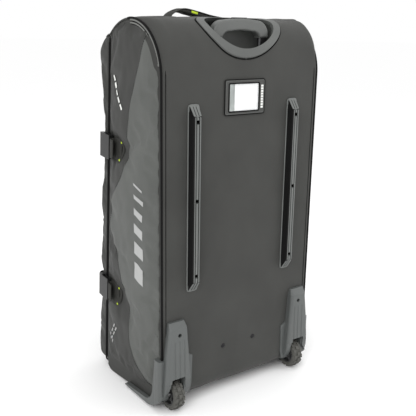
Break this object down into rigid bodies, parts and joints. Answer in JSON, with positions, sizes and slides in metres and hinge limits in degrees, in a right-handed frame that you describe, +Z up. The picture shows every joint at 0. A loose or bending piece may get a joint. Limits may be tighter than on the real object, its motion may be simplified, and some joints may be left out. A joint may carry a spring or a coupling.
{
  "type": "wheeled gear bag",
  "caption": "Upright wheeled gear bag with a soft shell, hinged zip lid, pull-out trolley handle, wheel guards, skid rails and compression straps.",
  "frame": {"origin": "on the floor, under the middle of the bag's bounding box, with the bag standing upright", "axes": "+Z up; -Y is the wheeled back with the trolley handle; +Y is the zipped lid; +X is to the right as seen from the wheeled back"},
  "size_m": [0.4574, 0.3463, 0.8905],
  "materials": {
    "shell_fabric": "woven polyester, charcoal",
    "side_fabric": "coated woven polyester, charcoal",
    "insert_fabric": "coated woven polyester, mid grey",
    "lining": "thin lining cloth",
    "piping": "black piping",
    "zip_tape": "coil zip on black tape",
    "webbing": "black nylon webbing",
    "buckle_plastic": "moulded acetal, black",
    "black_plastic": "moulded nylon, black",
    "board": "polyethylene sheet",
    "cup_plastic": "textured moulded plastic, grey",
    "grip_plastic": "textured moulded plastic, grey",
    "button_plastic": "moulded plastic, black",
    "guard_plastic": "textured moulded plastic, dark grey",
    "tube_aluminium": "satin anodised",
    "fastener_steel": "black oxide steel",
    "axle_steel": "turned steel",
    "tyre_rubber": "moulded tread",
    "hub_plastic": "moulded nylon",
    "id_vinyl": "stitched vinyl",
    "clear_film": "clear vinyl film",
    "card_white": "white card",
    "zip_metal": "black lacquered zinc",
    "pull_cord": "moulded rubber tab"
  },
  "bodies": {
    "bag": {"back_panel": "shell_fabric", "top_panel": "shell_fabric", "bottom_panel": "shell_fabric", "right_side_panel": "side_fabric", "left_side_panel": "side_fabric", "right_side_insert": "insert_fabric", "left_side_insert": "insert_fabric", "edge_piping": "piping", "main_zip_shell_tape": "zip_tape", "back_board": "board", "lining_panel": "lining", "strap_anchor_patches": "webbing", "rear_straps": "webbing", "buckle_sockets": "buckle_plastic", "trolley_cup": "cup_plastic", "outer_tubes": "tube_aluminium", "tube_collars": "black_plastic", "tube_base_bracket": "black_plastic", "bracket_rivets": "fastener_steel", "right_skid_rail": "guard_plastic", "left_skid_rail": "guard_plastic", "guard_screws": "fastener_steel", "right_wheel_guard": "guard_plastic", "left_wheel_guard": "guard_plastic", "wheel_axles": "axle_steel", "id_frame": "id_vinyl", "id_film": "clear_film", "handle_anchors": "webbing"},
    "trolley": {"inner_tubes": "tube_aluminium", "lock_blocks": "black_plastic", "grip_rear_shell": "grip_plastic", "grip_front_shell": "grip_plastic"},
    "release": {"release_button": "button_plastic", "release_linkage": "fastener_steel"},
    "right_pin": {"right_lock_pin": "fastener_steel"},
    "left_pin": {"left_lock_pin": "fastener_steel"},
    "right_wheel": {"right_tyre": "tyre_rubber", "right_wheel_hub": "hub_plastic", "right_wheel_bearings": "axle_steel"},
    "left_wheel": {"left_tyre": "tyre_rubber", "left_wheel_hub": "hub_plastic", "left_wheel_bearings": "axle_steel"},
    "lid": {"lid_panel": "shell_fabric", "lid_gusset": "side_fabric", "main_zip_lid_tape": "zip_tape", "upper_pocket": "shell_fabric", "lower_pocket": "shell_fabric", "pocket_zip_tapes": "zip_tape", "buckle_prongs": "buckle_plastic", "front_straps": "webbing"},
    "main_slider": {"main_slider": "zip_metal"},
    "main_pull": {"main_pull": "pull_cord"},
    "upper_slider": {"upper_pocket_slider": "zip_metal"},
    "upper_pull": {"upper_pocket_pull": "pull_cord"},
    "lower_slider": {"lower_pocket_slider": "zip_metal"},
    "lower_pull": {"lower_pocket_pull": "pull_cord"},
    "handle": {"grab_handle": "webbing"},
    "card": {"id_card": "card_white"}
  },
  "joints": [
    {"name": "trolley_slide", "type": "slide", "parent": "bag", "child": "trolley", "axis": [0, 0, 1], "range_m": [0, 0.32]},
    {"name": "button_press", "type": "slide", "parent": "trolley", "child": "release", "axis": [0, 0, -1], "range_m": [0, 0.004], "stiffness_N_per_m": 2500, "springref_m": -0.002},
    {"name": "right_pin_slide", "type": "slide", "parent": "trolley", "child": "right_pin", "axis": [-1, 0, 0], "range_m": [0, 0.0025]},
    {"name": "left_pin_slide", "type": "slide", "parent": "trolley", "child": "left_pin", "axis": [1, 0, 0], "range_m": [0, 0.0025]},
    {"name": "right_wheel_spin", "type": "hinge", "parent": "bag", "child": "right_wheel", "pos_m": [0.181, -0.1363, 0.037], "axis": [1, 0, 0], "continuous": true},
    {"name": "left_wheel_spin", "type": "hinge", "parent": "bag", "child": "left_wheel", "pos_m": [-0.181, -0.1363, 0.037], "axis": [1, 0, 0], "continuous": true},
    {"name": "lid_fold", "type": "hinge", "parent": "bag", "child": "lid", "pos_m": [0, 0.06732, 0.82765], "axis": [1, 0, 0], "range_deg": [0, 130]},
    {"name": "main_zip_slide", "type": "slide", "parent": "bag", "child": "main_slider", "axis": [0, 0.0704, -0.9975], "range_m": [0, 0.14]},
    {"name": "main_pull_swing", "type": "hinge", "parent": "main_slider", "child": "main_pull", "pos_m": [0.2174, 0.06985, 0.79174], "axis": [0, -0.9975, -0.0704], "range_deg": [0, 160]},
    {"name": "handle_fold", "type": "hinge", "parent": "bag", "child": "handle", "pos_m": [0, 0.0257, 0.86047], "axis": [1, 0, 0], "range_deg": [-50, 20], "stiffness_Nm_per_rad": 0.08},
    {"name": "card_slide", "type": "slide", "parent": "bag", "child": "card", "axis": [1, 0, 0], "range_m": [0, 0.07]},
    {"name": "upper_pocket_zip_slide", "type": "slide", "parent": "lid", "child": "upper_slider", "axis": [1, 0, 0], "range_m": [0, 0.27]},
    {"name": "upper_pocket_pull_swing", "type": "hinge", "parent": "upper_slider", "child": "upper_pull", "pos_m": [-0.138, 0.13364, 0.71805], "axis": [1, 0, 0], "range_deg": [0, 150]},
    {"name": "lower_pocket_zip_slide", "type": "slide", "parent": "lid", "child": "lower_slider", "axis": [1, 0, 0], "range_m": [0, 0.27]},
    {"name": "lower_pocket_pull_swing", "type": "hinge", "parent": "lower_slider", "child": "lower_pull", "pos_m": [-0.138, 0.15475, 0.41879], "axis": [1, 0, 0], "range_deg": [0, 150]}
  ],
  "couplings": [
    {"joint": "right_pin_slide", "follows": "button_press", "ratio": 0.625},
    {"joint": "left_pin_slide", "follows": "button_press", "ratio": 0.625}
  ]
}
